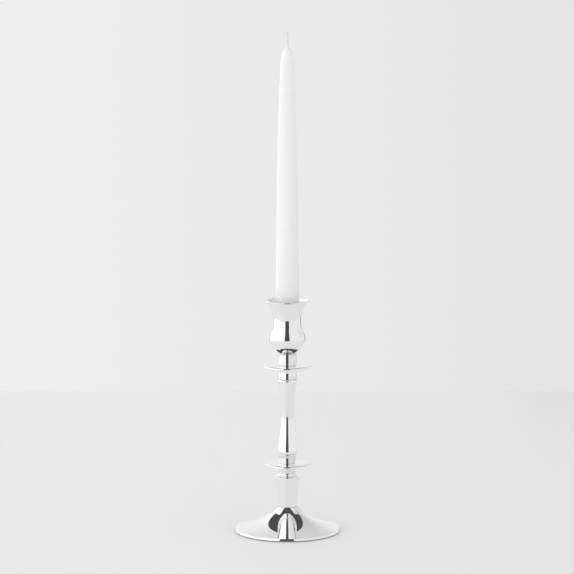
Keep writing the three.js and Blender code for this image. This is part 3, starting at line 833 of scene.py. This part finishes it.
def makeBallast(size, foot):
    # A casting that follows the hollow of the foot, with a recess for the nut. Its skin is pushed in and
    # out by smooth noise of two sizes, as sand leaves it.
    sweep = bend(foot["shoulder"], foot["handles"], (foot["neck"], foot["top"]), 90)
    upper = insetRun(sweep, size["room"] + size["rough"])
    upper = upper[(upper[:, 0] < size["radius"] - 0.5) & (upper[:, 1] < size["top"][1] - 0.5)]
    recessRadius, recessTop = size["recess"]
    line = outline(
        (recessRadius, size["low"], 0.6), (size["radius"], size["low"], 0.8), upper[::3],
        (*size["top"], 0.8), (bore, size["top"][1], 0.4), (bore, recessTop, 0.4),
        (recessRadius, recessTop, 0.8),
    )
    grid = turnedGrid(line, 180)
    rough = wavyNoise(grid, *size["coarseGrain"]) * 0.6 + wavyNoise(grid, *size["fineGrain"]) * 0.4
    grid[..., :2] *= (1 + np.clip(rough, -1, 1) * size["rough"] / np.maximum(line[:, :1], 4))[..., None]
    grid[..., 2] += np.clip(wavyNoise(grid, *size["upGrain"]), -1, 1) * size["rough"]
    return makePiece("cast_ballast", *closeGrid(grid, "ring"))


feltSizes = {
    "radius": 47.1, "faces": (0, 1.0), "edges": (0.2, 0.3), "spokes": (2, 45.6, 30),
    "fuzz": 0.14, "lumps": (2.2, 31), "unevenEdge": 1.5,
}
boardSizes = {
    "radius": 43.4, "faces": (1.35, 2.15), "edges": (0.15, 0.3), "spokes": (2, 42, 24),
    "waveDepth": 0.05, "waves": (30, 41),
}


def sheetOutline(size):
    # A flat disc's outline, with points all along both faces so that they can be moved up and down
    spokes = np.linspace(*size["spokes"])
    (low, high), (lowEdge, highEdge) = size["faces"], size["edges"]
    return outline(
        (0, low, 0), np.column_stack([spokes, 0 * spokes + low]), (size["radius"], low, lowEdge),
        (size["radius"], high, highEdge), np.column_stack([spokes[::-1], 0 * spokes + high]), (0, high, 0),
    )


def makeFeltPad(size):
    # A disc cut from felt: flat below, its cut edge a little uneven and its upper face softly lumpy
    line = sheetOutline(size)
    grid = turnedGrid(line, 240)
    lumps = np.clip(wavyNoise(grid, *size["lumps"]), -1, 1) * size["fuzz"]
    nearEdge = np.clip(line[:, :1] - size["radius"] + size["unevenEdge"], 0, 1)
    grid[..., :2] *= (1 + lumps * nearEdge / size["radius"])[..., None]
    grid[..., 2] -= np.abs(lumps) * (grid[..., 2] > size["faces"][1] / 2) * (line[:, :1] > 0)
    return makePiece("cut_felt", *closeGrid(grid, "poles"))


def makeBackingDisc(size):
    # Stamped from board: one face's edge is pressed rounder, and the sheet has dried very slightly wavy
    line = sheetOutline(size)
    grid = turnedGrid(line, 180)
    waves = np.clip(wavyNoise(grid * (1, 1, 0), *size["waves"]), -1, 1) * size["waveDepth"]
    grid[..., 2] += waves * (line[:, :1] > 0)
    return makePiece("stamped_board", *closeGrid(grid, "poles"))


innerPieces = [
    (makeFeltPad(feltSizes), "felt", "felt_pad", felt),
    (makeBackingDisc(boardSizes), "fibre_board", "backing_disc", board),
    (makeBallast(ballastSizes, footSizes), "ballast_iron", "ballast_weight", iron),
    (makeFlatWasher(washerSizes), "zinc_steel", "flat_washer", zinc),
    (makeSpringWasher(springSizes), "zinc_steel", "spring_washer", zinc),
    (makeNut(nutSizes), "zinc_steel", "hex_nut", zinc),
    (makeRod(rodSizes), "zinc_steel", "tie_rod", zinc),
    (makeBoss(bossSizes), "bare_brass", "cup_boss", brass),
]
for piece, slot, node, material in innerPieces:
    settle(piece, "holder", node, material)
print("stack clamped and foot filled")

# Stage: a pale table inside a light tent, with a round softbox overhead. The tent is open above and towards
# the camera and has a slot at each far corner, so the silver shows dark where it mirrors these.
floorSizes = {"front": -0.62, "back": 0.77, "side": 0.62, "colour": "#F7F7F7", "roughness": 0.5}
# Lengths are in metres. Angles are in degrees, round from the camera or up from the table, and in a list of
# pairs the first number says where and the second how much.
tentSizes = {
    "radius": 1.5, "below": -1.2, "columns": 361, "rows": 7, "gapLeft": -17.0, "gapRight": 15.2,
    "topAngle": 49.5, "rises": [(-128, 0), (-112, 12.5), (-95, 12.5), (-70, 9), (80, 9), (112, 12), (130, 0)],
    "dips": [(-141.0, 12.5), (129.0, 6.5)], "dipWidth": 20.0,
    "slots": [(157.0, 9.0), (-160.0, 5.0)], "slotTop": 0.2,
    "left": 1.2, "right": 0.88, "back": 0.9, "sideBlend": (0.15, 0.35), "opening": 0.075, "fill": 0.78,
    "fall": (0.09, 0.32),       # on the left and on the right
    "fallClimb": (14, 22), "fallTurn": (80, 40),      # start and length
    # The wall's two tones are painted light: lighter on the left, where the light falls, and darker on the
    # right.
    "wallLeft": "#EFEFEF", "wallRight": "#E5E5E5",
}
softboxSizes = {"middle": (-0.25, 0.05), "height": 2.4, "radius": 0.42, "sides": 64, "glow": 0.9}
scene.view_settings.view_transform = "Standard"


def makeFloor(size):
    # One flat rectangle at height nought
    mesh = bpy.data.meshes.new("studioTable")
    x, y0, y1 = size["side"], size["front"], size["back"]
    mesh.from_pydata([(-x, y0, 0), (x, y0, 0), (x, y1, 0), (-x, y1, 0)], [], [(0, 1, 2, 3)])
    paint = coat(newMaterial("satinPaintedTable"), {
        "Base Color": linear(size["colour"]), "Roughness": size["roughness"]})
    mesh.materials.append(paint)
    table = bpy.data.objects.new("studioTable", mesh)
    scene.collection.objects.link(table)


def hangCloth(mesh, material, glow):
    # A cloth that gives light and that the camera doesn't see. The glow is a number or a node's output.
    tree = material.node_tree
    light = addNode(tree, "ShaderNodeEmission", {}, {"Color": (1, 1, 1, 1), "Strength": glow})
    addNode(tree, "ShaderNodeOutputMaterial", {}, {"Surface": light})
    mesh.materials.append(material)
    cloth = bpy.data.objects.new(mesh.name, mesh)
    cloth.visible_camera = False
    scene.collection.objects.link(cloth)


def makeTent(size):
    # An upright wall round the table: x = R sin a, y = -R cos a. Its top stands at the height where the
    # angle above the table is the top angle, with more at the sides and the front, and less by a bell-shaped
    # dip towards each far corner. Low down, each far corner has a dark slot between two of its cloths.
    # Towards the back its glow falls with height, more so on the right.
    turn = np.linspace(size["gapLeft"], size["gapRight"] - 360, size["columns"])
    away = np.where(turn < -180, turn + 360, turn)
    bells = [depth * np.exp(-((away - place) / size["dipWidth"]) ** 2) for place, depth in size["dips"]]
    rise = np.interp(away, *zip(*size["rises"]))
    top = size["radius"] * np.tan(np.radians(size["topAngle"] + rise - sum(bells)))
    slots = [np.abs(away - place) < half for place, half in size["slots"]]
    share = np.linspace(0, 1, size["rows"])[1:, None]
    height = np.vstack([
        np.full(len(turn), size["below"]), np.full(len(turn), size["slotTop"] - 0.01),
        size["slotTop"] + (top - size["slotTop"]) * (share - share[0]) / (1 - share[0]),
    ])
    leftward = -np.sin(np.radians(turn))
    blendStart, blendLength = size["sideBlend"]
    leftShare = np.clip((leftward - blendStart) / blendLength, 0, 1)
    rightShare = np.clip((-leftward - blendStart) / blendLength, 0, 1)
    glow = size["back"] + (size["left"] - size["back"]) * leftShare
    glow = glow + (size["right"] - size["back"]) * rightShare
    leftFall, rightFall = size["fall"]
    climbStart, climbLength = size["fallClimb"]
    turnStart, turnLength = size["fallTurn"]
    climb = np.clip((np.degrees(np.arctan(height / size["radius"])) - climbStart) / climbLength, 0, 1)
    climb = climb * np.clip((np.abs(away) - turnStart) / turnLength, 0, 1)
    glow = glow * (1 - climb * (leftFall + (rightFall - leftFall) * np.clip(0.5 - leftward, 0, 1)))
    glow[:2] = np.where(slots[0] | slots[1], size["opening"], glow[:2])
    x = -size["radius"] * leftward + 0 * height
    y = -size["radius"] * np.cos(np.radians(turn)) + 0 * height
    grid = np.stack([x, y, height], -1)
    rows, sides = height.shape
    mesh = bpy.data.meshes.new("lightTent")
    faces = gridFaces(rows, sides, False).reshape(rows - 1, sides, 4)[:, :-1]
    mesh.from_pydata(grid.reshape(-1, 3).tolist(), [], faces.reshape(-1, 4).tolist())
    levels = mesh.attributes.new("glow", "FLOAT", "POINT").data
    levels.foreach_set("value", glow.ravel().astype(np.float32))
    material = newMaterial("litTentCloth")
    strength = addNode(material.node_tree, "ShaderNodeAttribute", {"attribute_name": "glow"}).outputs["Fac"]
    hangCloth(mesh, material, strength)


def makeSoftbox(size):
    # A round lamp overhead: x = middle + R cos t, y = middle + R sin t, filled as one face that looks down
    turn = np.arange(size["sides"]) / size["sides"] * fullTurn
    rim = carryRound(size["radius"], turn, size["height"]) + (*size["middle"], 0)
    mesh = bpy.data.meshes.new("overheadSoftbox")
    mesh.from_pydata(rim.tolist(), [], [list(range(size["sides"]))[::-1]])
    hangCloth(mesh, newMaterial("litSoftboxCloth"), size["glow"])


def makeWorld(size):
    # What the camera sees past the table is a plain pale wall with painted light, a little brighter to the
    # left where the light falls from; the silver mirrors the dim room instead, and matt surfaces are lit by
    # an even fill.
    world = bpy.data.worlds.new("studio")
    scene.world = world
    world.use_nodes = True
    tree = world.node_tree
    tree.nodes.clear()
    rays = addNode(tree, "ShaderNodeLightPath").outputs
    direction = addNode(tree, "ShaderNodeTexCoord").outputs["Generated"]
    sideways = addNode(tree, "ShaderNodeSeparateXYZ", {}, {"Vector": direction})
    across = addNode(tree, "ShaderNodeMapRange", {}, {
        "Value": sideways.outputs["X"], "From Min": -0.12, "From Max": 0.12})
    # The wall's tone goes from lighter on the left to darker on the right: painted light, falling from the
    # left.
    wallColour = addNode(tree, "ShaderNodeMix", {"data_type": "RGBA"}, {
        0: across, 6: linear(size["wallLeft"]), 7: linear(size["wallRight"])})
    room = addNode(tree, "ShaderNodeBackground", {}, {"Color": (1, 1, 1, 1), "Strength": size["opening"]})
    fill = addNode(tree, "ShaderNodeBackground", {}, {"Color": (1, 1, 1, 1), "Strength": size["fill"]})
    wall = addNode(tree, "ShaderNodeBackground", {}, {"Color": wallColour.outputs[2], "Strength": 1.0})
    soft = addNode(tree, "ShaderNodeMixShader", {}, {0: rays["Is Diffuse Ray"], 1: room, 2: fill})
    both = addNode(tree, "ShaderNodeMixShader", {}, {0: rays["Is Camera Ray"], 1: soft, 2: wall})
    addNode(tree, "ShaderNodeOutputWorld", {}, {"Surface": both})


makeFloor(floorSizes)
makeTent(tentSizes)
makeSoftbox(softboxSizes)
makeWorld(tentSizes)
print("studio lit")
